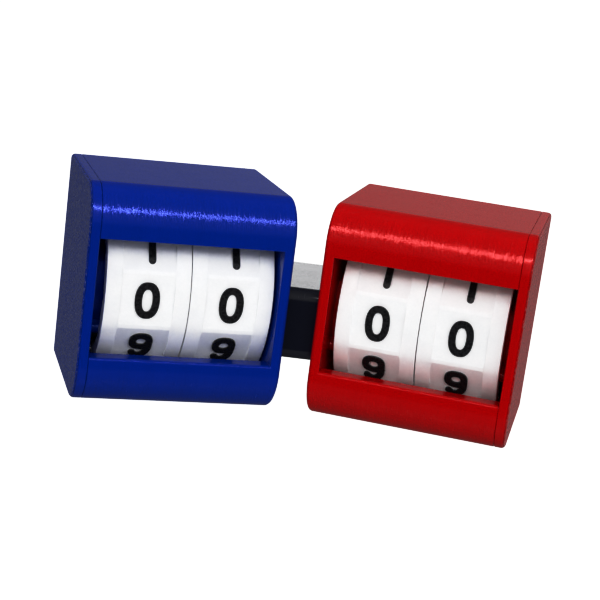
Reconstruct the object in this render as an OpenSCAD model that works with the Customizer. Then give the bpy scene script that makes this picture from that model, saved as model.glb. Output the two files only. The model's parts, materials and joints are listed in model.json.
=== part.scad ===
// Tabletop score counter: two boxes, each with two ten-sided number wheels, toed in
// on a wedge between them. Millimetres, +Z up, the windows face -Y.
// The origin is the middle of the footprint, on the table.
//
// Every box is drawn in its own frame first: x = 0 is the outside of the inner side
// wall (the side towards the wedge), x runs out to the end cap, y = 0 is the front
// face and z = 0 the table. side = -1 is the blue box (left), side = 1 the red box.

/* [Box] */
// Width of one box, end cap included
box_w = 60; // [56:1:80]
// Depth of one box, front face to back face
box_d = 58; // [57:1:80]
// Height of one box
box_h = 65; // [62:1:90]
// Radius of the front edge at the top
front_top_r = 11.3; // [8:0.1:12]
// Radius of the front edge at the bottom
front_bottom_r = 13.4; // [10:0.1:14]
// Radius of the two back edges
back_r = 1.6; // [0.6:0.1:2]
// Thickness of the front, top, back and bottom walls
wall = 2.2; // [1.8:0.1:2.4]
// Thickness of the inner side wall and of the end cap
side_wall = 3.2; // [3:0.1:4]

/* [Window] */
// Height of the sill above the table
sill_z = 15.7; // [14.5:0.1:18]
// Height of the window
window_h = 34.6; // [28:0.1:35]
// How far the sill runs on behind the front wall
sill_d = 3; // [1:0.5:3.5]

/* [Layout] */
// Angle that each box is turned in towards the player
toe = 14.2; // [8:0.1:20]
// Gap between the two boxes at the front
front_gap = 8; // [6:0.5:12]

/* [Number wheels] */
// Radius of the smooth round band at each end of a wheel
rim_r = 25.7; // [24.5:0.1:26]
// Distance from the axis to each of the ten flats between the bands
flat_r = 25.1; // [23.5:0.05:25.3]
// Radius of the rounded corners between the flats
corner_r = 5; // [2:0.5:8]
// Distance from the axis to the floor of each number panel, which is sunk into its flat
facet_r = 24.95; // [23:0.05:25.2]
// Height of a number panel
panel_h = 14.7; // [12:0.1:15]
// Width of one wheel
wheel_w = 24.5; // [22:0.1:24.6]
// Width of each smooth band
rim_w = 4.5; // [3:0.1:6]
// Air between the two wheels of a box
wheel_gap = 0.3; // [0.3:0.1:1]
// How far the blue box's wheels stand to the right of its middle
blue_shift = 1.3; // [-0.6:0.1:1.4]
// How far the red box's wheels stand to the right of its middle
red_shift = 0.3; // [-1.4:0.1:0.6]
// Radius of the hollow inside the wheel, on the crests of the click notches
crest_r = 21.4; // [20:0.1:21.6]
// Radius of the hub
hub_r = 8; // [7:0.5:9]
// Air between an axle and its wheel, on the radius
running_clearance = 0.05; // [0.02:0.01:0.1]
// Radius of the axle
axle_r = 4; // [3:0.5:5]

/* [Digits] */
// Height of a digit
digit_h = 10.7; // [8:0.1:12]
// Width of a digit
digit_w = 7.2; // [5:0.1:9]
// Width of a stroke
stroke = 2.05; // [1.2:0.05:2.2]
// How far a digit stands above its facet
digit_t = 0.5; // [0.3:0.1:0.9]

/* [Wedge] */
// Distance from the front plane of the boxes to the front of the wedge
wedge_y = 7.5; // [4:0.5:12]
// Depth of the wedge
wedge_d = 41; // [36:1:44]
// Height of the wedge's underside above the table
wedge_z = 16; // [12:1:24]
// Height of the wedge
wedge_h = 21.8; // [18:0.1:28]
// Radius of the wedge's front edges
wedge_r = 3.5; // [2:0.5:6]

/* [Hidden] */
$fn = 96;
eps = 0.01;
axis_y = box_d/2;
axis_z = box_h/2;
// shifts the two front inner corners so that the footprint is centred on the origin
shift_y = -(box_d*cos(toe) - box_w*sin(toe))/2;
inner_w = box_w - 2*side_wall;
wheel_margin = (inner_w - 2*wheel_w - wheel_gap)/2;
wheel_x1 = side_wall + wheel_margin + wheel_w/2;
wheel_x2 = wheel_x1 + wheel_w + wheel_gap;
hub_w = wheel_w - 0.7;
boss_r = 7;
// the same shifts along a box's own x, which runs to the left in the blue box
function shift_x(side) = side < 0 ? -blue_shift : red_shift;
// axle bosses on the inner side wall and on the end cap: 0.3 from the hubs
function wall_boss(side) = wheel_margin + 0.35 - 0.3 + shift_x(side);
function cap_boss(side) = wheel_margin + 0.35 - 0.3 - shift_x(side);
socket_d = 3.3;
axle_len = inner_w - 2*(wheel_margin + 0.05) + 2*socket_d - 0.2;
peg_r = 1.55;
peg_len = 7;
// centres of the four corner posts in (y, z)
posts = [[8, 8], [7.3, box_h - 7.3], [box_d - 5.8, 5.8], [box_d - 5.8, box_h - 5.8]];
// centres of the screws through the inner side wall in (y, z)
screws = [[19.5, 26], [37.5, 26]];
screw_len = 10;
screw_r = 1.45;
head_r = 2.8;
head_h = 1.35;
blue = [0.0, 0.13, 0.52];
red = [0.68, 0.0, 0.02];
white = [0.93, 0.93, 0.93];
black = [0.05, 0.05, 0.06];
steel = [0.65, 0.66, 0.68];

// moves a box from its own frame to its place; side = -1 mirrors it to the left
module place(side) {
  translate([0, shift_y, 0])
    mirror([side < 0 ? 1 : 0, 0, 0])
      translate([front_gap/2, 0, 0])
        rotate([0, 0, -toe]) children();
}
// turns a (y, z) outline into a solid that runs along x
module along_x(x0, len) {
  translate([x0, 0, 0]) rotate([90, 0, 90]) linear_extrude(height = len) children();
}
module rod_x(x0, len, r, y = axis_y, z = axis_z) {
  translate([x0, y, z]) rotate([0, 90, 0]) cylinder(r = r, h = len);
}

// one rounded corner of an outline: the square bit that is left outside the arc
module corner_bit(cy, cz, r, sy, sz) {
  translate([cy, cz]) difference() {
    translate([sy > 0 ? 0 : -r - 1, sz > 0 ? 0 : -r - 1]) square([r + 1, r + 1]);
    circle(r = r);
  }
}
// outline of a box in (y, z), inset by t; the four corners are true arcs
module outline(t) {
  rt = front_top_r - t;
  rb = front_bottom_r - t;
  rk = max(back_r - t, 0.4);
  difference() {
    translate([t, t]) square([box_d - 2*t, box_h - 2*t]);
    corner_bit(front_top_r, box_h - front_top_r, rt, -1, 1);
    corner_bit(front_bottom_r, front_bottom_r, rb, -1, -1);
    corner_bit(box_d - t - rk, box_h - t - rk, rk, 1, 1);
    corner_bit(box_d - t - rk, t + rk, rk, 1, -1);
  }
}

// housing: inner side wall, the four walls round it, the window and the axle boss
module housing(side) {
  boss_h = wall_boss(side);
  difference() {
    union() {
      difference() {
        along_x(0, box_w - side_wall) outline(0);
        along_x(side_wall, box_w) outline(wall);
        // window, open towards the end cap, which is its outer jamb
        translate([side_wall, -1, sill_z]) cube([box_w, wall + 2, window_h]);
      }
      // the sill is deeper than the wall
      translate([side_wall - eps, wall - eps, sill_z - 2.3]) cube([inner_w + eps, sill_d + eps, 2.3]);
      // corner posts for the pegs of the end cap
      for (p = posts) intersection() {
        rod_x(side_wall - eps, inner_w + eps, 4, p[0], p[1]);
        along_x(0, box_w) outline(wall/2);
      }
      rod_x(side_wall - eps, boss_h + eps, boss_r);
      // two pins that hold the click spring
      for (a = [60, 120]) rod_x(side_wall - eps, 3.5, 1.2,
        axis_y + 11.5*cos(a), axis_z + 11.5*sin(a));
    }
    rod_x(side_wall + boss_h - socket_d, socket_d + 1, axle_r + 0.05);
    for (p = posts) rod_x(box_w - side_wall - peg_len - 0.5, peg_len + 1, peg_r + 0.05, p[0], p[1]);
    for (s = screws) {
      rod_x(-1, side_wall + 2, screw_r + 0.05, s[0], s[1]);
      translate([side_wall - head_h - 0.1, s[0], s[1]]) rotate([0, 90, 0])
        cylinder(r1 = screw_r + 0.05, r2 = head_r + 0.05, h = head_h);
      rod_x(side_wall - 0.1 - eps, 1, head_r + 0.05, s[0], s[1]);
    }
  }
}

// end cap: closes the outer side, carries the other axle boss and four pegs
module end_cap(side) {
  x = box_w - side_wall;
  boss_h = cap_boss(side);
  difference() {
    union() {
      along_x(x, side_wall) outline(0);
      rod_x(x - boss_h, boss_h + eps, boss_r);
      for (p = posts) rod_x(x - peg_len, peg_len + eps, peg_r, p[0], p[1]);
      for (a = [60, 120]) rod_x(x - 3.5 + eps, 3.5, 1.2,
        axis_y + 11.5*cos(a), axis_z + 11.5*sin(a));
    }
    rod_x(x - boss_h - 1, socket_d + 1, axle_r + 0.05);
  }
}

module axle(side) {
  x0 = side_wall + wall_boss(side) - socket_d + 0.1;
  rod_x(x0 + 0.6, axle_len - 1.2, axle_r);
  translate([x0, axis_y, axis_z]) rotate([0, 90, 0]) cylinder(r1 = axle_r - 0.6, r2 = axle_r, h = 0.6);
  translate([x0 + axle_len - 0.6, axis_y, axis_z]) rotate([0, 90, 0]) cylinder(r1 = axle_r, r2 = axle_r - 0.6, h = 0.6);
}

// outline of a wheel between its bands: ten flats, with corners rounded by true arcs
module wheel_outline() {
  rc = (flat_r - corner_r)/cos(18);
  difference() {
    polygon([for (i = [0:9]) flat_r/cos(18)*[cos(36*i + 18), sin(36*i + 18)]]);
    for (i = [0:9]) rotate(36*i + 18) difference() {
      translate([rc + corner_r*cos(18), -3]) square([3, 6]);
      translate([rc, 0]) circle(r = corner_r);
    }
  }
}
// number wheel, drawn about the x axis with its middle at the origin: a round band at
// each end, ten flats between them, each with a shallow number panel, a web, a hub and
// ten click notches on each side
module wheel() {
  facet_w = wheel_w - 2*rim_w;
  panel_w = facet_w - 0.6;
  difference() {
    union() {
      rod_x(-wheel_w/2, wheel_w, rim_r, 0, 0);
      along_x(-facet_w/2, facet_w) wheel_outline();
    }
    // the panels
    for (i = [0:9]) rotate([36*i, 0, 0])
      translate([-panel_w/2, -flat_r - 2, -panel_h/2]) cube([panel_w, flat_r + 2 - facet_r, panel_h]);
    for (s = [-1, 1]) {
      difference() {
        translate([s*(wheel_w/4 + 0.75 + 0.5), 0, 0]) rotate([0, 90, 0])
          cylinder(r = crest_r, h = wheel_w/2 - 1.5 + 1, center = true);
        rotate([0, 90, 0]) cylinder(r = hub_r, h = 2*wheel_w, center = true);
      }
      // click notches, in line with the facets
      for (i = [0:9]) rotate([36*i, 0, 0]) translate([s*(wheel_w/2 - 2.5 + 0.5), crest_r - 0.7, 0])
        rotate([0, 90, 0]) cylinder(r = 1.9, h = 6, center = true, $fn = 48);
    }
    rotate([0, 90, 0]) cylinder(r = axle_r + running_clearance, h = 2*wheel_w, center = true);
    // the hub is a little shorter than the wheel
    for (s = [-1, 1]) translate([s*(hub_w/2 + 5), 0, 0]) rotate([0, 90, 0])
      cylinder(r = hub_r + 0.5, h = 10, center = true);
  }
}

// ---- digits: outlines of constant width, drawn flat in (x, z) about their middle ----
function ring(rx, ry, n, cx, cy) = [for (i = [0:n - 1]) let (a = 360*i/n, c = cos(a), s = sin(a), e = 0.86)
  [cx + rx*sign(c)*pow(abs(c), e), cy + ry*sign(s)*pow(abs(s), e)]];
module oval(w, h, cx = 0, cy = 0) {
  difference() {
    polygon(ring(w/2, h/2, 48, cx, cy));
    polygon(ring(w/2 - stroke, h/2 - stroke, 40, cx, cy));
  }
}
// points on an elliptic arc, the direction of a run of points, and the band of stroke
// width round it with round ends
function arc(cx, cy, rx, ry, a0, a1, n) = [for (i = [0:n]) let (a = a0 + (a1 - a0)*i/n) [cx + rx*cos(a), cy + ry*sin(a)]];
function dir(p, i) = let (a = p[max(i - 1, 0)], b = p[min(i + 1, len(p) - 1)], d = b - a) d/norm(d);
function cap(c, d) = let (t = atan2(d[1], d[0])) [for (i = [0:10]) c + stroke/2*[cos(t + 90 - 18*i), sin(t + 90 - 18*i)]];
module band(p) {
  n = len(p);
  polygon(concat(
    n > 2 ? [for (i = [1:n - 2]) let (d = dir(p, i)) p[i] + stroke/2*[-d[1], d[0]]] : [],
    cap(p[n - 1], dir(p, n - 1)),
    n > 2 ? [for (i = [n - 2:-1:1]) let (d = dir(p, i)) p[i] - stroke/2*[-d[1], d[0]]] : [],
    cap(p[0], -dir(p, 0))));
}
module digit(n) {
  w = digit_w;
  h = digit_h;
  x = (w - stroke)/2;
  z = (h - stroke)/2;
  if (n == 0) oval(w, h);
  if (n == 1) {
    band([[0.75, -z], [0.75, z]]);
    band([[-1.2, z - 1.75], [0.62, z - 0.25]]);
  }
  if (n == 2) {
    band(concat(arc(0, z - x, x, x, 168, -36, 14), [[-x + 0.45, -z + 0.3]]));
    band([[-x + 0.1, -z], [x, -z]]);
  }
  if (n == 3) {
    ru = z*0.475;
    rl = z - ru;
    band(arc(-0.1, z - ru, x - 0.3, ru, 155, -72, 14));
    band(arc(-0.1, -z + rl, x, rl, 74, -152, 14));
    band([[-0.75, z - 2*ru], [0.45, z - 2*ru]]);
  }
  if (n == 4) {
    band([[1.1, z], [-x + 0.3, -1.5]]);
    band([[-x, -1.75], [x, -1.75]]);
    band([[1.25, 0.9], [1.25, -z]]);
  }
  if (n == 5) {
    band([[x - 0.3, z], [-x + 0.5, z]]);
    band([[-x + 0.62, z - 0.3], [-x + 0.4, 0.75]]);
    band(arc(-0.15, -z + 2.75, x + 0.05, 2.75, 126, -148, 16));
  }
  if (n == 6 || n == 9) rotate(n == 6 ? 0 : 180) {
    oval(w - 0.3, 6.9, 0, -h/2 + 3.45);
    band(concat([[-x + 0.15, -h/2 + 3.45]], arc(0.2, 0.4, x + 0.05, z - 0.4, 172, 48, 12)));
  }
  if (n == 7) {
    band([[-x, z], [x, z]]);
    band([[x - 0.25, z - 0.35], [-0.8, -z]]);
  }
  if (n == 8) {
    oval(w - 0.6, h*0.55, 0, h/2 - h*0.275);
    oval(w, h*0.45 + stroke, 0, -h/2 + (h*0.45 + stroke)/2);
  }
}
// the ten digits of a wheel; the 1 is on the facet above the 0, the 9 below it
module digits() {
  for (i = [0:9]) rotate([-36*i, 0, 0])
    translate([0, -facet_r, 0]) rotate([90, 0, 0]) linear_extrude(height = digit_t) digit(i);
}

// click spring: a ring plate held on two pins of the wall, with a curved arm whose
// nose rides in the notches of the wheel; it fills x0 to x0 + t. The nose is drawn
// lifted, just clear of the crests between the notches.
spring_t = 4.9;
nose_a = 216;
module ray(a, r0, r1, w) { rotate(a) translate([r0, -w/2]) square([r1 - r0, w]); }
module click_spring(x0) {
  along_x(x0, spring_t) translate([axis_y, axis_z]) difference() {
    union() {
      // plate
      difference() {
        circle(r = 14);
        circle(r = 9);
        translate([-20, -20]) square([40, 23]);
      }
      // foot of the arm
      ray(156, 12.5, 17.5, 3);
      // arm
      difference() {
        circle(r = 17.6);
        circle(r = 16.2);
        rotate(156) translate([-20, -40]) square([40, 40]);
        rotate(nose_a) translate([-20, 0]) square([40, 40]);
      }
      // nose
      ray(nose_a, 16.4, 19.4, 3);
      rotate(nose_a) translate([19.4, 0]) circle(r = 1.6);
    }
    for (a = [60, 120]) rotate(a) translate([11.5, 0]) circle(r = 1.25);
  }
}

module hub_washer(side) {
  x = wheel_x1 + wheel_w/2 + wheel_gap/2 + shift_x(side);
  difference() {
    rod_x(x - 0.2, 0.4, 7);
    rod_x(x - 1, 2, axle_r + 0.06);
  }
}

// countersunk screws from inside the box, through the inner side wall into the wedge
module wedge_screws() {
  for (s = screws) difference() {
    union() {
      translate([side_wall - 0.1 - head_h, s[0], s[1]]) rotate([0, 90, 0])
        cylinder(r1 = screw_r, r2 = head_r, h = head_h);
      rod_x(side_wall - 0.1 - screw_len, screw_len - head_h + eps, screw_r, s[0], s[1]);
    }
    translate([side_wall - 0.1 - 1, s[0], s[1]]) rotate([0, 90, 0]) cylinder(r = 1.15, h = 2, $fn = 6);
  }
}

// wedge: joins the boxes; its two sides lie on their inner side walls
module wedge_outline() {
  difference() {
    translate([wedge_y, wedge_z]) square([wedge_d, wedge_h]);
    corner_bit(wedge_y + wedge_r, wedge_z + wedge_h - wedge_r, wedge_r, -1, 1);
    corner_bit(wedge_y + wedge_r, wedge_z + wedge_r, wedge_r, -1, -1);
    corner_bit(wedge_y + wedge_d - 1, wedge_z + wedge_h - 1, 1, 1, 1);
    corner_bit(wedge_y + wedge_d - 1, wedge_z + 1, 1, 1, -1);
  }
}
module wedge() {
  y1 = wedge_y - 2;
  y2 = wedge_y + wedge_d + 2;
  x1 = front_gap/2 + y1*tan(toe);
  x2 = front_gap/2 + y2*tan(toe);
  difference() {
    translate([0, shift_y, 0]) intersection() {
      along_x(-50, 100) wedge_outline();
      linear_extrude(height = 2*box_h) polygon([[-x1, y1], [x1, y1], [x2, y2], [-x2, y2]]);
    }
    for (side = [-1, 1]) place(side) for (s = screws)
      rod_x(-screw_len + side_wall - 0.6, screw_len, screw_r + 0.05, s[0], s[1]);
  }
}

// the tens wheel is the left one of each pair, as seen from the front
function tens_x(side) = (side < 0 ? wheel_x2 : wheel_x1) + shift_x(side);
function units_x(side) = (side < 0 ? wheel_x1 : wheel_x2) + shift_x(side);
module wheel_at(side, x) {
  place(side) translate([x, axis_y, axis_z]) color(white) wheel();
}
module digits_at(side, x) {
  place(side) translate([x, axis_y, axis_z]) mirror([side < 0 ? 1 : 0, 0, 0]) color(black) digits();
}
// springs: against the inner side wall, or against the end cap
function spring_x(side, tens) = (side < 0) == tens ? box_w - side_wall - spring_t : side_wall;

color(black) wedge();
color(blue) place(-1) housing(-1);  // blue_housing
color(blue) place(-1) end_cap(-1);  // blue_end_cap
color(black) place(-1) axle(-1);  // blue_axle
wheel_at(-1, tens_x(-1));  // blue_tens_wheel
digits_at(-1, tens_x(-1));  // blue_tens_digits
wheel_at(-1, units_x(-1));  // blue_units_wheel
digits_at(-1, units_x(-1));  // blue_units_digits
color(blue) place(-1) click_spring(spring_x(-1, true));  // blue_tens_click_spring
color(blue) place(-1) click_spring(spring_x(-1, false));  // blue_units_click_spring
color(white) place(-1) hub_washer(-1);  // blue_hub_washer
color(steel) place(-1) wedge_screws();  // blue_wedge_screws
color(red) place(1) housing(1);  // red_housing
color(red) place(1) end_cap(1);  // red_end_cap
color(black) place(1) axle(1);  // red_axle
wheel_at(1, tens_x(1));  // red_tens_wheel
digits_at(1, tens_x(1));  // red_tens_digits
wheel_at(1, units_x(1));  // red_units_wheel
digits_at(1, units_x(1));  // red_units_digits
color(red) place(1) click_spring(spring_x(1, true));  // red_tens_click_spring
color(red) place(1) click_spring(spring_x(1, false));  // red_units_click_spring
color(white) place(1) hub_washer(1);  // red_hub_washer
color(steel) place(1) wedge_screws();  // red_wedge_screws
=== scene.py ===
import json
import math

import bmesh
import bpy
from mathutils import Matrix, Vector

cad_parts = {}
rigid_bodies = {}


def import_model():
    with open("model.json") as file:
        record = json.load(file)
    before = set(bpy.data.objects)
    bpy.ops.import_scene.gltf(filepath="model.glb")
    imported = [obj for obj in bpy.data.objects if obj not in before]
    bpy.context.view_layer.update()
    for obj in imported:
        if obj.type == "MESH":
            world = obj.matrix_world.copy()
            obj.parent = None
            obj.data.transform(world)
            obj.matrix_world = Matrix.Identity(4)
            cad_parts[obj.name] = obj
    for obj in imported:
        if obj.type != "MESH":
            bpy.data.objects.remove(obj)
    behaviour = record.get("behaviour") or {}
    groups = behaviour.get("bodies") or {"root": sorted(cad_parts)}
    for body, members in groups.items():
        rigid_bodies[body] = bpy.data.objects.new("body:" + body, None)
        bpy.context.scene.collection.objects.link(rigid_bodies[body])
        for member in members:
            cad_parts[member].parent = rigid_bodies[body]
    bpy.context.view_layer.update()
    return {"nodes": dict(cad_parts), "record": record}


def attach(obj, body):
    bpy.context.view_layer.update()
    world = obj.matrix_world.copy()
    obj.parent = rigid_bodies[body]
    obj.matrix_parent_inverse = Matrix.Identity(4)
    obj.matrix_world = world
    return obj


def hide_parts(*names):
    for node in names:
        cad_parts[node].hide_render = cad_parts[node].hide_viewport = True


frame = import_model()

NODES = frame["nodes"]
BODY_OF = {}
for body, members in frame["record"]["behaviour"]["bodies"].items():
    for n in members:
        BODY_OF[n] = body

# ---------------------------------------------------------------- the part's sizes, in millimetres
BOX_W, BOX_D, BOX_H = 60.0, 58.0, 65.0
R_TOP, R_BOT, R_BACK = 11.3, 13.4, 1.6
WALL, SIDE = 2.2, 3.2
SILL, WIN_H = 15.7, 34.6
TOE = math.radians(14.2)
GAP = 8.0
RIM_R, FLAT_R, CORNER_R, FACET_R, PANEL_H = 25.7, 25.1, 5.0, 24.95, 14.7
WHEEL_W, RIM_W, WHEEL_GAP = 24.5, 4.5, 0.3
SILL_D = 3.0
CREST_R, HUB_R, AXLE_R, CLEAR = 21.4, 8.0, 4.0, 0.05
SHIFT = {"blue": -1.3, "red": 0.3}
SOCKET_D, BOSS_R = 3.3, 7.0
PEG_R, PEG_LEN = 1.55, 7.0
WEDGE_Y, WEDGE_D, WEDGE_Z, WEDGE_H, WEDGE_R = 7.5, 41.0, 16.0, 21.8, 3.5
AY, AZ = BOX_D / 2, BOX_H / 2
SHIFT_Y = -(BOX_D * math.cos(TOE) - BOX_W * math.sin(TOE)) / 2
MARGIN = (BOX_W - 2 * SIDE - 2 * WHEEL_W - WHEEL_GAP) / 2
X1 = SIDE + MARGIN + WHEEL_W / 2
X2 = X1 + WHEEL_W + WHEEL_GAP
POSTS = [(8, 8), (7.3, BOX_H - 7.3), (BOX_D - 5.8, 5.8), (BOX_D - 5.8, BOX_H - 5.8)]
SCREWS = [(19.5, 26), (37.5, 26)]
SEAM = BOX_W - SIDE
SIGN = {"blue": -1, "red": 1}

EDGE_R = 1.2  # round of a box's outer side edges
SEAM_C = 0.16  # broken edge on each side of the seam


def place(side):
    """From a box's own frame, in millimetres, to the row's frame, in metres."""
    k = SIGN[side]
    m = Matrix.Translation((0, SHIFT_Y, 0))
    if k < 0:
        m = m @ Matrix.Scale(-1, 4, (1, 0, 0))
    m = m @ Matrix.Translation((GAP / 2, 0, 0)) @ Matrix.Rotation(-TOE, 4, "Z")
    return Matrix.Scale(0.001, 4) @ m


# ---------------------------------------------------------------- meshes
def arc(cy, cz, r, a0, a1, n):
    return [
        (cy + r * math.cos(math.radians(a0 + (a1 - a0) * i / n)), cz + r * math.sin(math.radians(a0 + (a1 - a0) * i / n)))
        for i in range(n + 1)
    ]


def outline(t, nf=26, nb=7):
    """A box's outline in (y, z), inset by t, with the same number of points for every t."""
    rb = max(R_BACK - t, 0.4)
    return (
        arc(R_TOP, BOX_H - R_TOP, R_TOP - t, 90, 180, nf)
        + arc(R_BOT, R_BOT, R_BOT - t, 180, 270, nf)
        + arc(BOX_D - t - rb, t + rb, rb, 270, 360, nb)
        + arc(BOX_D - t - rb, BOX_H - t - rb, rb, 0, 90, nb)
    )


def circle(y, z, r, n):
    return [(y + r * math.cos(2 * math.pi * i / n), z + r * math.sin(2 * math.pi * i / n)) for i in range(n)]


def new_mesh(name, verts, faces):
    me = bpy.data.meshes.new(name)
    me.from_pydata(verts, [], faces)
    me.update()
    return me


def loft(sections, name="loft"):
    """A closed solid through (x, [(y, z), ...]) sections; the loops run counter-clockwise as seen from +x."""
    n = len(sections[0][1])
    verts = [(x, y, z) for x, loop in sections for y, z in loop]
    faces = []
    for s in range(len(sections) - 1):
        for i in range(n):
            j = (i + 1) % n
            faces.append((s * n + i, s * n + j, (s + 1) * n + j, (s + 1) * n + i))
    faces.append(tuple(reversed(range(n))))
    last = (len(sections) - 1) * n
    faces.append(tuple(range(last, last + n)))
    return new_mesh(name, verts, faces)


def rod(x0, x1, r, y, z, n=48, c=0.0):
    """A rod along x, with a broken edge c at its x1 end, or at its x0 end if c is negative."""
    if c > 0:
        return loft([(x0, circle(y, z, r, n)), (x1 - c, circle(y, z, r, n)), (x1, circle(y, z, r - c, n))])
    if c < 0:
        return loft([(x0, circle(y, z, r + c, n)), (x0 - c, circle(y, z, r, n)), (x1, circle(y, z, r, n))])
    return loft([(x0, circle(y, z, r, n)), (x1, circle(y, z, r, n))])


def cone(x0, r0, x1, r1, y, z, n=48):
    return loft([(x0, circle(y, z, r0, n)), (x1, circle(y, z, r1, n))])


def round_sections(x_face, direction, r, n=5):
    """Sections that round the edge between the outline and a face at x_face; direction points into the solid."""
    out = []
    for i in range(n + 1):
        b = math.radians(90 * i / n)
        out.append((x_face + direction * r * (1 - math.cos(b)), outline(r * (1 - math.sin(b)))))
    return out


def combine(base, steps):
    """Applies (operation, mesh) steps to base and returns the resulting mesh."""
    obj = bpy.data.objects.new("csg", base)
    bpy.context.scene.collection.objects.link(obj)
    for op, tool in steps:
        t_obj = bpy.data.objects.new("tool", tool)
        bpy.context.scene.collection.objects.link(t_obj)
        mod = obj.modifiers.new("csg", "BOOLEAN")
        mod.operation = op
        mod.solver = "EXACT"
        mod.object = t_obj
        dg = bpy.context.evaluated_depsgraph_get()
        dg.update()
        me = bpy.data.meshes.new_from_object(obj.evaluated_get(dg))
        obj.modifiers.clear()
        obj.data = me
        bpy.data.objects.remove(t_obj)
    me = obj.data
    bpy.data.objects.remove(obj)
    return me


CUT, ADD = "DIFFERENCE", "UNION"


def window_cut():
    """The window, with its front edges rounded, the sill's most; open towards the end cap."""
    r, rs = 0.4, 0.9
    steps = [math.radians(90 * i / 6) for i in range(7)]
    ys = sorted({round(q * (1 - math.cos(a)), 5) for a in steps for q in (r, rs)})
    inset = lambda y, q: q - math.sqrt(max(q * q - (q - y) ** 2, 0.0)) if y < q else 0.0
    rows = [(-1.0, r, rs)] + [(y, inset(y, r), inset(y, rs)) for y in ys] + [(WALL + 1.0, 0.0, 0.0)]
    verts, faces = [], []
    for y, e, es in rows:
        x0, x1, z0, z1 = SIDE - e, BOX_W + 5, SILL - es, SILL + WIN_H + e
        verts += [(x0, y, z0), (x1, y, z0), (x1, y, z1), (x0, y, z1)]
    for s in range(len(rows) - 1):
        for i in range(4):
            j = (i + 1) % 4
            faces.append((s * 4 + i, s * 4 + j, (s + 1) * 4 + j, (s + 1) * 4 + i))
    faces.append((3, 2, 1, 0))
    k = (len(rows) - 1) * 4
    faces.append((k, k + 1, k + 2, k + 3))
    me = new_mesh("window", verts, faces)
    bm = bmesh.new()
    bm.from_mesh(me)
    bmesh.ops.recalc_face_normals(bm, faces=bm.faces)
    bm.to_mesh(me)
    bm.free()
    return me


def housing_mesh(side):
    boss = MARGIN + 0.05 + SHIFT[side]
    x_end = SEAM - 0.03
    outer = loft(round_sections(0, 1, EDGE_R) + [(x_end - SEAM_C, outline(0)), (x_end, outline(SEAM_C))])
    steps = [(CUT, loft([(SIDE, outline(WALL)), (BOX_W + 3, outline(WALL))])), (CUT, window_cut())]
    # the sill runs on behind the front wall
    y0, y1, z0, z1 = WALL - 0.3, WALL + SILL_D, SILL - 2.3, SILL - 0.002
    steps.append((ADD, loft([(x, [(y0, z0), (y1, z0), (y1, z1), (y0, z1)]) for x in (SIDE - 0.3, x_end - 0.003)])))
    for y, z in POSTS:
        steps.append((ADD, rod(SIDE - 0.3, x_end - 0.002, 4.0, y, z)))
    steps.append((ADD, rod(SIDE - 0.3, SIDE + boss, BOSS_R, AY, AZ, 64, 0.25)))
    for a in (60, 120):
        steps.append((ADD, rod(SIDE - 0.3, SIDE + 3.5, 1.2, AY + 11.5 * math.cos(math.radians(a)), AZ + 11.5 * math.sin(math.radians(a)), 24, 0.2)))
    steps.append((CUT, rod(SIDE + boss - SOCKET_D, SIDE + boss + 1, AXLE_R + 0.05, AY, AZ)))
    for y, z in POSTS:
        steps.append((CUT, rod(SEAM - PEG_LEN - 0.5, BOX_W, PEG_R + 0.05, y, z, 32)))
    for y, z in SCREWS:
        steps.append((CUT, rod(-1, SIDE + 1, 1.5, y, z, 32)))
        steps.append((CUT, cone(SIDE - 1.45, 1.5, SIDE - 0.1, 2.85, y, z, 40)))
        steps.append((CUT, rod(SIDE - 0.101, SIDE + 1, 2.85, y, z, 40)))
    return combine(outer, steps)


def cap_mesh(side):
    boss = MARGIN + 0.05 - SHIFT[side]
    x0 = SEAM + 0.03
    plate = loft([(x0, outline(SEAM_C)), (x0 + SEAM_C, outline(0))] + list(reversed(round_sections(BOX_W, -1, EDGE_R))))
    steps = [(ADD, rod(SEAM - boss, SEAM + 0.3, BOSS_R, AY, AZ, 64, -0.25))]
    for y, z in POSTS:
        steps.append((ADD, rod(SEAM - PEG_LEN, SEAM + 0.3, PEG_R, y, z, 32, -0.35)))
    for a in (60, 120):
        steps.append((ADD, rod(SEAM - 3.5, SEAM + 0.3, 1.2, AY + 11.5 * math.cos(math.radians(a)), AZ + 11.5 * math.sin(math.radians(a)), 24, -0.2)))
    steps.append((CUT, rod(SEAM - boss - 1, SEAM - boss + SOCKET_D, AXLE_R + 0.05, AY, AZ)))
    return combine(plate, steps)


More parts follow.
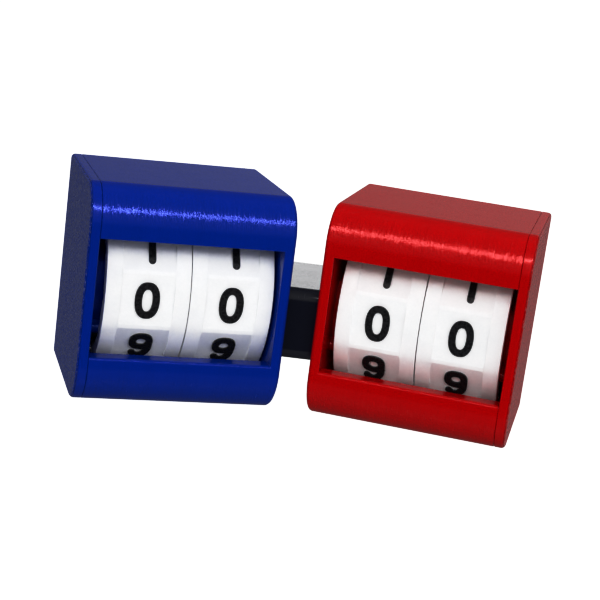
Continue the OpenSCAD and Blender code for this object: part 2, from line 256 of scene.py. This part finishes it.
def wheel_mesh():
    """One wheel about the x axis: a closed path in (x, radius) taken round in steps, with the flats, the panels and the click notches in the radius."""
    half = WHEEL_W / 2
    fw = (WHEEL_W - 2 * RIM_W) / 2
    rc = (FLAT_R - CORNER_R) / math.cos(math.radians(18))
    bend = math.degrees(math.atan((FLAT_R - CORNER_R) * math.tan(math.radians(18)) / FLAT_R))
    edge = math.degrees(math.atan(PANEL_H / 2 / FACET_R))
    rel = [0, 1.6, 3.2, 4.4, 4.75, 4.85, 7, 9.5, 12, bend, 15.2, 15.8, edge, edge + 0.06, 17.2]
    rel = [-a for a in reversed(rel[1:])] + rel + [18.0]
    angles = [36 * k + a for k in range(10) for a in rel]

    def body(a):
        d = abs((a + 18) % 36 - 18)
        if d <= bend + 1e-9:
            return FLAT_R / math.cos(math.radians(d))
        e = math.radians(18 - d)
        return rc * math.cos(e) + math.sqrt(CORNER_R**2 - (rc * math.sin(e)) ** 2)

    def panel(a):
        d = abs((a + 18) % 36 - 18)
        return FACET_R / math.cos(math.radians(d)) if d <= edge + 1e-9 else body(a)

    def notched(a):
        d = math.radians((a + 18) % 36 - 18)
        q = 1.9**2 - (20.7 * math.sin(d)) ** 2
        return max(CREST_R, 20.7 * math.cos(d) + math.sqrt(q)) if q > 0 else CREST_R

    const = lambda r: (lambda a: r)
    c = 0.15
    # runs from the left face up round the edge, along the band and over or down onto the panels
    outer = []
    for i in range(5):
        v = math.radians(90 * i / 4)
        outer.append((-half + c * (1 - math.sin(v)), const(RIM_R - c * (1 - math.cos(v)))))
    outer = outer[::-1]
    g = 0.08
    outer += [(-fw - g, const(RIM_R)), (-fw, lambda a: max(RIM_R - g, min(body(a), RIM_R))), (-fw, body), (-fw + 0.3, body), (-fw + 0.3, panel)]
    right = [(-x, r) for x, r in reversed(outer)]
    front = outer + right
    hub_half = (WHEEL_W - 0.7) / 2
    back = [
        (half, notched), (half - 5, notched), (half - 5, const(CREST_R)), (0.75, const(CREST_R)),
        (0.75, const(HUB_R)), (hub_half, const(HUB_R)), (hub_half, const(AXLE_R + CLEAR)),
        (-hub_half, const(AXLE_R + CLEAR)), (-hub_half, const(HUB_R)), (-0.75, const(HUB_R)),
        (-0.75, const(CREST_R)), (-half + 5, const(CREST_R)), (-half + 5, notched), (-half, notched),
    ]
    ring = front + back
    n, m = len(angles), len(ring)
    verts = []
    for x, rf in ring:
        for a in angles:
            r = rf(a)
            # angle 0 faces the front; positive angles go up
            verts.append((x, -r * math.cos(math.radians(a)), r * math.sin(math.radians(a))))
    faces = []
    for s in range(m):
        s2 = (s + 1) % m
        for i in range(n):
            j = (i + 1) % n
            faces.append((s * n + i, s * n + j, s2 * n + j, s2 * n + i))
    me = new_mesh("wheel", verts, faces)
    bm = bmesh.new()
    bm.from_mesh(me)
    bmesh.ops.remove_doubles(bm, verts=bm.verts, dist=1e-5)
    bmesh.ops.dissolve_degenerate(bm, edges=bm.edges, dist=1e-6)
    bmesh.ops.recalc_face_normals(bm, faces=bm.faces)
    bm.to_mesh(me)
    bm.free()
    return me


def wedge_mesh():
    y0, z0, y1, z1, r = WEDGE_Y, WEDGE_Z, WEDGE_Y + WEDGE_D, WEDGE_Z + WEDGE_H, WEDGE_R
    loop = arc(y0 + r, z1 - r, r, 90, 180, 14) + arc(y0 + r, z0 + r, r, 180, 270, 14)
    loop += arc(y1 - 1, z0 + 1, 1, 270, 360, 6) + arc(y1 - 1, z1 - 1, 1, 0, 90, 6)
    xe = lambda y: GAP / 2 + y * math.tan(TOE)
    n = len(loop)
    verts = [(-xe(y), y + SHIFT_Y, z) for y, z in loop] + [(xe(y), y + SHIFT_Y, z) for y, z in loop]
    faces = [(i, (i + 1) % n, n + (i + 1) % n, n + i) for i in range(n)]
    faces.append(tuple(reversed(range(n))))
    faces.append(tuple(range(n, 2 * n)))
    me = new_mesh("wedge", verts, faces)
    steps = []
    for side in ("blue", "red"):
        to_mm = Matrix.Scale(1000, 4) @ place(side)
        for y, z in SCREWS:
            hole = rod(-7.4, 3, 1.5, y, z, 32)
            hole.transform(to_mm)
            if SIGN[side] < 0:
                hole.flip_normals()
            steps.append((CUT, hole))
    return combine(me, steps)


# ---------------------------------------------------------------- shader helpers
class Tree:
    """Builds a material's node tree with short calls."""

    def __init__(self, name):
        self.mat = bpy.data.materials.new(name)
        self.mat.use_nodes = True
        self.nt = self.mat.node_tree
        self.nt.nodes.clear()
        self.out = self.add("ShaderNodeOutputMaterial")
        self.bsdf = self.add("ShaderNodeBsdfPrincipled")
        self.nt.links.new(self.bsdf.outputs[0], self.out.inputs["Surface"])
        self.coord = self.add("ShaderNodeTexCoord").outputs["Object"]

    def add(self, kind, **props):
        n = self.nt.nodes.new(kind)
        for k, v in props.items():
            setattr(n, k, v)
        return n

    def put(self, socket, value):
        if isinstance(value, bpy.types.NodeSocket):
            self.nt.links.new(value, socket)
        else:
            socket.default_value = value

    def set(self, name, value):
        self.put(self.bsdf.inputs[name], value)

    def math(self, op, a, b=0.0, c=0.0, clamp=False):
        n = self.add("ShaderNodeMath", operation=op, use_clamp=clamp)
        self.put(n.inputs[0], a)
        self.put(n.inputs[1], b)
        self.put(n.inputs[2], c)
        return n.outputs[0]

    def dot(self, vec, axis):
        n = self.add("ShaderNodeVectorMath", operation="DOT_PRODUCT")
        self.put(n.inputs[0], vec)
        n.inputs[1].default_value = axis
        return n.outputs["Value"]

    def along(self, k, stretch):
        """Object coordinates in a box's own directions, each scaled by its own factor."""
        parts = [self.math("MULTIPLY", self.dot(self.coord, axis), s) for axis, s in zip(AXES[k], stretch)]
        n = self.add("ShaderNodeCombineXYZ")
        for i in range(3):
            self.put(n.inputs[i], parts[i])
        return n.outputs[0]

    def noise(self, scale, detail=2.0, rough=0.5, w=None, vec=None):
        n = self.add("ShaderNodeTexNoise", noise_dimensions="1D" if w is not None else "3D")
        if w is not None:
            self.put(n.inputs["W"], w)
        else:
            self.put(n.inputs["Vector"], vec if vec is not None else self.coord)
        n.inputs["Scale"].default_value = scale
        n.inputs["Detail"].default_value = detail
        n.inputs["Roughness"].default_value = rough
        return n.outputs["Fac"]

    def remap(self, value, a, b, c, d, smooth=False):
        n = self.add("ShaderNodeMapRange", interpolation_type="SMOOTHSTEP" if smooth else "LINEAR")
        self.put(n.inputs["Value"], value)
        for k, v in zip(("From Min", "From Max", "To Min", "To Max"), (a, b, c, d)):
            self.put(n.inputs[k], v)
        return n.outputs["Result"]

    def mix(self, fac, a, b):
        n = self.add("ShaderNodeMix", data_type="RGBA")
        cols = [s for s in n.inputs if s.type == "RGBA"]
        self.put([s for s in n.inputs if s.type == "VALUE"][0], fac)
        self.put(cols[0], a)
        self.put(cols[1], b)
        return [s for s in n.outputs if s.type == "RGBA"][0]

    def bump(self, height, distance, strength=1.0, normal=None):
        n = self.add("ShaderNodeBump")
        self.put(n.inputs["Height"], height)
        n.inputs["Distance"].default_value = distance
        n.inputs["Strength"].default_value = strength
        if normal is not None:
            self.put(n.inputs["Normal"], normal)
        return n.outputs["Normal"]

    def blend(self, fac, a, b):
        """a where fac is 0 and b where it is 1, for numbers."""
        return self.math("ADD", self.math("MULTIPLY", a, self.math("SUBTRACT", 1.0, fac)), self.math("MULTIPLY", b, fac))


def shade(c, k):
    return (c[0] * k, c[1] * k, c[2] * k, 1.0)


# each box's own x (out to its end cap), y (to its back) and z
AXES = {
    "blue": ((-math.cos(TOE), -math.sin(TOE), 0.0), (-math.sin(TOE), math.cos(TOE), 0.0), (0, 0, 1)),
    "red": ((math.cos(TOE), -math.sin(TOE), 0.0), (math.sin(TOE), math.cos(TOE), 0.0), (0, 0, 1)),
    "wedge": ((1.0, 0.0, 0.0), (0.0, 1.0, 0.0), (0, 0, 1)),
}


def printed(name, colour, tint, k, rough=(0.1, 0.2), layer=0.000004, wave=0.00016, spec=0.5, grain=None):
    """Printed plastic with layer lines across the box's own x. grain is where, along that x, the face that lay on the textured bed is."""
    t = Tree(name)
    u = t.dot(t.coord, AXES[k][0])
    lines = t.noise(5000.0, 1.0, 0.5, w=u)
    streak = t.noise(1300.0, 2.0, 0.6, w=u)
    wide = t.noise(150.0, 2.0, 0.5, w=u)
    # each layer wavers a little along its own run, which breaks up the highlight
    waver = t.noise(1.0, 1.5, 0.55, vec=t.along(k, (2200.0, 500.0, 500.0)))
    cloud = t.noise(120.0, 2.0, 0.5)
    height = t.math("ADD", t.math("MULTIPLY", lines, 0.5), t.math("MULTIPLY", streak, 0.5))
    # the lines show most low down, where the layers are lit across
    low = t.remap(t.dot(t.coord, (0, 0, 1)), 0.006, 0.02, 1.0, 0.0, True)
    # the top and underside are smoother than the walls
    up = t.math("ABSOLUTE", t.dot(t.add("ShaderNodeNewGeometry").outputs["Normal"], (0, 0, 1)))
    calm = t.math("MULTIPLY", t.remap(up, 0.75, 0.95, 1.0, 0.03, True), t.remap(up, 0.1, 0.35, 0.22, 1.0, True))
    flat_normal = t.bump(t.math("MULTIPLY", waver, calm), wave, 1.0)
    flat_normal = t.bump(t.math("MULTIPLY", height, t.remap(low, 0.0, 1.0, 1.0, 2.2)), layer, 1.0, flat_normal)
    # the polish changes from layer to layer, which makes a comb of the streak
    comb = t.noise(2600.0, 1.0, 0.5, w=u)
    roughness = t.math("ADD", t.remap(waver, 0.3, 0.7, rough[0], rough[1]), t.math("MULTIPLY", t.remap(comb, 0.38, 0.62, -0.04, 0.08, True), calm))
    tone = t.math("ADD", t.math("MULTIPLY", wide, 0.5), t.math("MULTIPLY", streak, 0.5))
    base = t.mix(t.remap(tone, 0.35, 0.65, 0.0, 1.0), shade(colour, 0.975), shade(colour, 1.025))
    normal = flat_normal
    if grain is not None:
        mask = t.remap(u, grain - 0.00055, grain - 0.00025, 0.0, 1.0, True)
        pits = t.noise(1500.0, 2.0, 0.65)
        cells = t.add("ShaderNodeTexVoronoi", feature="SMOOTH_F1")
        t.put(cells.inputs["Vector"], t.coord)
        cells.inputs["Scale"].default_value = 1900.0
        relief = t.math("ADD", t.math("MULTIPLY", pits, 0.8), t.math("MULTIPLY", cells.outputs["Distance"], 0.35))
        # the grain's depth fades out towards the rounded edge
        grain_n = t.bump(t.math("MULTIPLY", relief, mask), 0.0011, 1.0)
        mixn = t.add("ShaderNodeMix", data_type="VECTOR")
        t.put([s for s in mixn.inputs if s.type == "VALUE"][0], mask)
        vs = [s for s in mixn.inputs if s.type == "VECTOR"]
        t.put(vs[0], flat_normal)
        t.put(vs[1], grain_n)
        normal = [s for s in mixn.outputs if s.type == "VECTOR"][0]
        roughness = t.blend(mask, roughness, t.remap(pits, 0.35, 0.65, 0.14, 0.4))
        # painted highlight: the grain's tips are painted paler, standing in for glints of light off the textured face
        painted_glint_tips = t.math("MULTIPLY", mask, t.remap(t.noise(1050.0, 3.0, 0.75), 0.5, 0.6, 0.0, 0.5, True))
        # painted highlight specks mixed into the base colour
        base = t.mix(painted_glint_tips, base, tuple(0.5 * v + 0.2 for v in colour) + (1.0,))
    t.set("Base Color", base)
    t.set("Roughness", t.math("ADD", roughness, t.remap(cloud, 0.3, 0.7, -0.02, 0.02)))
    t.set("Normal", normal)
    t.set("IOR", 1.46)
    t.set("Specular IOR Level", spec)
    t.set("Specular Tint", (*tint, 1.0))
    return t.mat


def u_of(k, x_mm):
    """The material's coordinate along a box's own x, at x millimetres from its inner side."""
    a = Vector(AXES[k][0])
    return a.dot(place(k) @ Vector((x_mm, 0, 0)))


def wheel_white(name, k):
    t = Tree(name)
    u = t.dot(t.coord, AXES[k][0])
    lines = t.noise(5000.0, 1.0, 0.5, w=u)
    streak = t.noise(700.0, 2.0, 0.6, w=u)
    cloud = t.noise(220.0, 3.0, 0.6)
    speck = t.noise(1400.0, 3.0, 0.7)
    normal = t.bump(t.math("ADD", t.math("MULTIPLY", cloud, 0.5), t.math("MULTIPLY", speck, 0.3)), 0.00006, 0.7)
    normal = t.bump(t.math("ADD", lines, t.math("MULTIPLY", streak, 0.5)), 0.00001, 0.8, normal)
    base = t.mix(t.remap(t.math("ADD", t.math("MULTIPLY", cloud, 0.5), t.math("MULTIPLY", speck, 0.5)), 0.35, 0.65, 0.0, 1.0), (0.86, 0.87, 0.88, 1), (0.93, 0.935, 0.94, 1))
    t.set("Base Color", base)
    t.set("Roughness", t.remap(streak, 0.3, 0.7, 0.38, 0.52))
    t.set("Normal", normal)
    t.set("IOR", 1.46)
    # light soaks further into the bands beside the panels than into the panels
    near = t.math("MINIMUM", *[t.math("ABSOLUTE", t.math("SUBTRACT", u, u_of(k, x + SHIFT[k]))) for x in (X1, X2)])
    band = t.remap(near, WHEEL_W / 2000 - RIM_W / 1000 - 0.0001, WHEEL_W / 2000 - RIM_W / 1000 + 0.0001, 0.0, 1.0, True)
    t.set("Subsurface Weight", t.remap(band, 0.0, 1.0, 0.1, 0.35))
    t.bsdf.inputs["Subsurface Radius"].default_value = (1.0, 0.97, 0.94)
    t.set("Subsurface Scale", 0.0015)
    return t.mat


def digit_black(name, k):
    t = Tree(name)
    u = t.dot(t.coord, AXES[k][0])
    fine = t.noise(2500.0, 2.0, 0.6, w=u)
    cloud = t.noise(900.0, 3.0, 0.6)
    normal = t.bump(cloud, 0.00006, 0.7)
    normal = t.bump(fine, 0.00002, 0.7, normal)
    t.set("Base Color", t.mix(cloud, (0.010, 0.010, 0.012, 1), (0.020, 0.020, 0.023, 1)))
    t.set("Roughness", t.remap(cloud, 0.3, 0.7, 0.2, 0.36))
    t.set("Normal", normal)
    t.set("IOR", 1.46)
    t.set("Specular IOR Level", 0.35)
    return t.mat


def steel(name):
    t = Tree(name)
    n = t.noise(1500.0, 2.0, 0.6)
    t.set("Base Color", t.mix(n, (0.5, 0.5, 0.52, 1), (0.6, 0.6, 0.6, 1)))
    t.set("Metallic", 1.0)
    t.set("Roughness", t.remap(n, 0.3, 0.7, 0.25, 0.4))
    t.set("Normal", t.bump(n, 0.00002, 0.6))
    return t.mat


BLUE = (0.0, 0.029, 0.295)
RED = (0.435, 0.0, 0.002)
BLACK = (0.011, 0.013, 0.028)
T_BLUE = (0.3, 0.36, 1.0)
T_RED = (1.0, 0.28, 0.3)


MAT = {
    ("blue", "shell"): printed("blue_shell", BLUE, T_BLUE, "blue"),
    ("red", "shell"): printed("red_shell", RED, T_RED, "red"),
    ("blue", "cap"): printed("blue_cap", BLUE, T_BLUE, "blue", grain=u_of("blue", BOX_W)),
    ("red", "cap"): printed("red_cap", RED, T_RED, "red", grain=u_of("red", BOX_W)),
    ("wedge", "black"): printed("wedge_black", BLACK, (1, 1, 1), "wedge", rough=(0.12, 0.2), layer=0.000003, wave=0.000004),
}
for k in ("blue", "red"):
    MAT[(k, "wheel")] = wheel_white(k + "_wheel_white", k)
    MAT[(k, "digits")] = digit_black(k + "_digit_black", k)
    MAT[(k, "black")] = printed(k + "_inner_black", BLACK, (1, 1, 1), k, rough=(0.35, 0.5))
MAT_STEEL = steel("screw_steel")


def material_for(node):
    if node == "wedge":
        return MAT[("wedge", "black")]
    k = node.split("_")[0]
    if node.endswith("housing"):
        return MAT[(k, "shell")]
    if node.endswith("end_cap"):
        return MAT[(k, "cap")]
    if node.endswith("_wheel") or node.endswith("washer"):
        return MAT[(k, "wheel")]
    if node.endswith("_digits"):
        return MAT[(k, "digits")]
    if node.endswith("screws"):
        return MAT_STEEL
    if node.endswith("click_spring"):
        return MAT[(k, "shell")]
    return MAT[(k, "black")]


def assign(obj, mat):
    obj.data.materials.clear()
    obj.data.materials.append(mat)


def smooth(me, angle):
    bm = bmesh.new()
    bm.from_mesh(me)
    for f in bm.faces:
        f.smooth = True
    for e in bm.edges:
        if len(e.link_faces) == 2:
            e.smooth = e.calc_face_angle(0.0) < math.radians(angle)
    bm.to_mesh(me)
    bm.free()


def finished(node, me, matrix=None, flip=False, angle=30.0):
    """Shows mesh me in place of a node."""
    if matrix is not None:
        me.transform(matrix)
    if flip:
        me.flip_normals()
    me.update()
    smooth(me, angle)
    me.name = node + "_finished"
    obj = bpy.data.objects.new(node + "_finished", me)
    bpy.context.scene.collection.objects.link(obj)
    mod = obj.modifiers.new("weighted", "WEIGHTED_NORMAL")
    mod.keep_sharp = True
    mod.weight = 100
    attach(obj, BODY_OF[node])
    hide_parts(node)
    assign(obj, material_for(node))
    return obj


for node, obj in NODES.items():
    assign(obj, material_for(node))

for k in ("blue", "red"):
    mirrored = SIGN[k] < 0
    finished(k + "_housing", housing_mesh(k), place(k), mirrored)
    finished(k + "_end_cap", cap_mesh(k), place(k), mirrored)
    tens, units = (X2, X1) if mirrored else (X1, X2)
    for name, x in (("tens", tens), ("units", units)):
        at = place(k) @ Matrix.Translation((x + SHIFT[k], AY, AZ))
        finished(f"{k}_{name}_wheel", wheel_mesh(), at, mirrored, 12.0)
finished("wedge", wedge_mesh(), Matrix.Scale(0.001, 4))

for node, obj in NODES.items():
    if node.endswith("_digits"):
        bev = obj.modifiers.new("edge", "BEVEL")
        bev.width = 0.00013
        bev.segments = 2
        bev.limit_method = "ANGLE"
        bev.angle_limit = math.radians(50)
        bev.use_clamp_overlap = True

# ---------------------------------------------------------------- camera
# position, and its turn as heading, tilt below the horizon and roll
yaw, pitch, roll = -0.0401, 0.2321, 0.1303
rz = Matrix.Rotation(yaw, 3, "Z")
fwd = rz @ Vector((0, math.cos(pitch), -math.sin(pitch)))
right0 = rz @ Vector((1, 0, 0))
up0 = rz @ Vector((0, math.sin(pitch), math.cos(pitch)))
right = right0 * math.cos(roll) + up0 * math.sin(roll)
up = -right0 * math.sin(roll) + up0 * math.cos(roll)
cam_data = bpy.data.cameras.new("camera")
cam_data.sensor_width = 36.0
cam_data.lens = 1461.85 / 600 * 36.0
cam = bpy.data.objects.new("camera", cam_data)
m = Matrix.Identity(4)
for i in range(3):
    m[i][0], m[i][1], m[i][2] = right[i], up[i], -fwd[i]
m.translation = Vector((-0.01769, -0.43541, 0.13468))
cam.matrix_world = m
cam_data.clip_start = 0.01
cam_data.clip_end = 1000
bpy.context.scene.collection.objects.link(cam)
bpy.context.scene.camera = cam

# ---------------------------------------------------------------- stage and light
S = 300.0
floor = bpy.data.objects.new("floor", new_mesh("floor", [(-S, -S, 0), (S, -S, 0), (S, S, 0), (-S, S, 0)], [(0, 1, 2, 3)]))
bpy.context.scene.collection.objects.link(floor)
t = Tree("floor_white")
t.set("Base Color", (0.12, 0.12, 0.12, 1))
t.set("Roughness", 0.9)
t.set("Specular IOR Level", 0.0)
t.set("Emission Color", (1, 1, 1, 1))
t.set("Emission Strength", 1.0)
assign(floor, t.mat)
floor.visible_diffuse = False
floor.visible_glossy = False
floor.visible_shadow = False

world = bpy.data.worlds.new("studio")
bpy.context.scene.world = world
world.use_nodes = True
wt = world.node_tree
wt.nodes.clear()


def wnode(kind, **props):
    n = wt.nodes.new(kind)
    for key, v in props.items():
        setattr(n, key, v)
    return n


def wput(socket, v):
    if isinstance(v, bpy.types.NodeSocket):
        wt.links.new(v, socket)
    else:
        socket.default_value = v


def wmath(op, a, b=0.0):
    n = wnode("ShaderNodeMath", operation=op)
    wput(n.inputs[0], a)
    wput(n.inputs[1], b)
    return n.outputs[0]


def wramp(v, a, b, c, d):
    n = wnode("ShaderNodeMapRange", interpolation_type="SMOOTHSTEP")
    wput(n.inputs["Value"], v)
    for key, q in zip(("From Min", "From Max", "To Min", "To Max"), (a, b, c, d)):
        n.inputs[key].default_value = q
    return n.outputs["Result"]


wo = wnode("ShaderNodeOutputWorld")
bg = wnode("ShaderNodeBackground")
sep = wnode("ShaderNodeSeparateXYZ")
wt.links.new(wnode("ShaderNodeTexCoord").outputs["Generated"], sep.inputs[0])
dx, dy, dz = sep.outputs[0], sep.outputs[1], sep.outputs[2]
# pale all round, brighter in front and above, dim behind; a low pale backdrop at the back, brighter to the right
front = wramp(wmath("MULTIPLY", dy, -1.0), -0.6, 0.9, 0.0, 1.0)
upper = wramp(dz, -0.25, 0.35, 0.0, 1.0)
level = wmath("ADD", 0.14, wmath("MULTIPLY", front, 0.36))
level = wmath("ADD", level, wmath("MULTIPLY", wmath("MULTIPLY", front, upper), 0.32))
backdrop = wmath("MULTIPLY", wramp(dy, 0.4, 0.75, 0.0, 1.0), wmath("MULTIPLY", wramp(dz, 0.30, 0.40, 1.0, 0.0), wramp(dz, -0.05, 0.02, 0.0, 1.0)))
level = wmath("ADD", level, wmath("MULTIPLY", backdrop, wramp(dx, -0.35, 0.35, 0.06, 0.2)))
# the white table at both sides behind, which the outer faces mirror at a low angle
wide = wramp(wmath("ABSOLUTE", dx), 0.25, 0.45, 0.0, 1.0)
table = wmath("MULTIPLY", wmath("MULTIPLY", wide, wramp(dy, 0.3, 0.6, 0.0, 1.0)), wramp(dz, -0.02, 0.12, 1.0, 0.0))
level = wmath("ADD", level, wmath("MULTIPLY", table, wramp(dx, -0.3, 0.3, 0.06, 0.29)))
# dimmer just below the horizon in front
dusk = wmath("MULTIPLY", wramp(dz, -0.5, -0.35, 0.0, 1.0), wramp(dz, -0.05, 0.1, 1.0, 0.0))
level = wmath("ADD", level, wmath("MULTIPLY", wmath("MULTIPLY", front, dusk), -0.4))
wput(bg.inputs["Strength"], level)
bg.inputs["Color"].default_value = (1, 1, 1, 1)
wt.links.new(bg.outputs[0], wo.inputs[0])


def area(name, loc, target, size_x, size_y, power, color=(1, 1, 1)):
    d = bpy.data.lights.new(name, "AREA")
    d.shape = "RECTANGLE"
    d.size, d.size_y = size_x, size_y
    d.energy = power
    d.color = color
    o = bpy.data.objects.new(name, d)
    o.location = loc
    o.rotation_euler = (Vector(target) - Vector(loc)).to_track_quat("-Z", "Y").to_euler()
    bpy.context.scene.collection.objects.link(o)
    return o


def polar(az, el, r):
    """A point seen from the object: azimuth 0 is the front, positive to the right."""
    a, e = math.radians(az), math.radians(el)
    return (r * math.sin(a) * math.cos(e), -r * math.cos(a) * math.cos(e), 0.03 + r * math.sin(e))


mid = (0, 0, 0.03)
key = area("key", polar(0, 28, 1.2), mid, 1.8, 0.26, 6.8)
key.visible_glossy = False
top = area("top", polar(180, 68, 1.2), mid, 1.3, 0.5, 7.2)
top.visible_glossy = False
# a narrow strip that only shows as the streak along the top edges
strip = area("strip", polar(0, 45, 1.2), mid, 1.8, 0.16, 24.0)
strip.visible_diffuse = False
# weak ones from both sides and from below
for name, az, el, size_x, size_y, power in (("fill_right", 60, 18, 0.5, 0.5, 2.3), ("fill_left", -60, 18, 0.5, 0.5, 1.3), ("fill_low", 0, -64, 1.3, 0.3, 4.8)):
    area(name, polar(az, el, 1.2), mid, size_x, size_y, power).visible_glossy = False
# a white wall behind, which only the wedge mirrors
wall = area("wall", polar(180, 13, 2.0), (0, 0, 0.04), 0.5, 0.5, 1.1)
wall.visible_diffuse = False
only = bpy.data.collections.new("wedge_only")
rest = bpy.data.collections.new("all_but_wedge")
for o in bpy.data.objects:
    if o.type == "MESH":
        (only if o.name.startswith("wedge") else rest).objects.link(o)
wall.light_linking.receiver_collection = only
strip.light_linking.receiver_collection = rest

sc = bpy.context.scene
sc.view_settings.view_transform = "Standard"
sc.view_settings.look = "None"
sc.view_settings.exposure = 0.0
sc.view_settings.gamma = 1.0
# a little contrast, as a studio photograph has
sc.view_settings.use_curve_mapping = True
curve = sc.view_settings.curve_mapping.curves[3]
for x, y in ((0.1, 0.045), (0.2, 0.105), (0.3, 0.2), (0.4, 0.33), (0.5, 0.485), (0.6, 0.64), (0.7, 0.76), (0.85, 0.885)):
    curve.points.new(x, y)
sc.view_settings.curve_mapping.update()
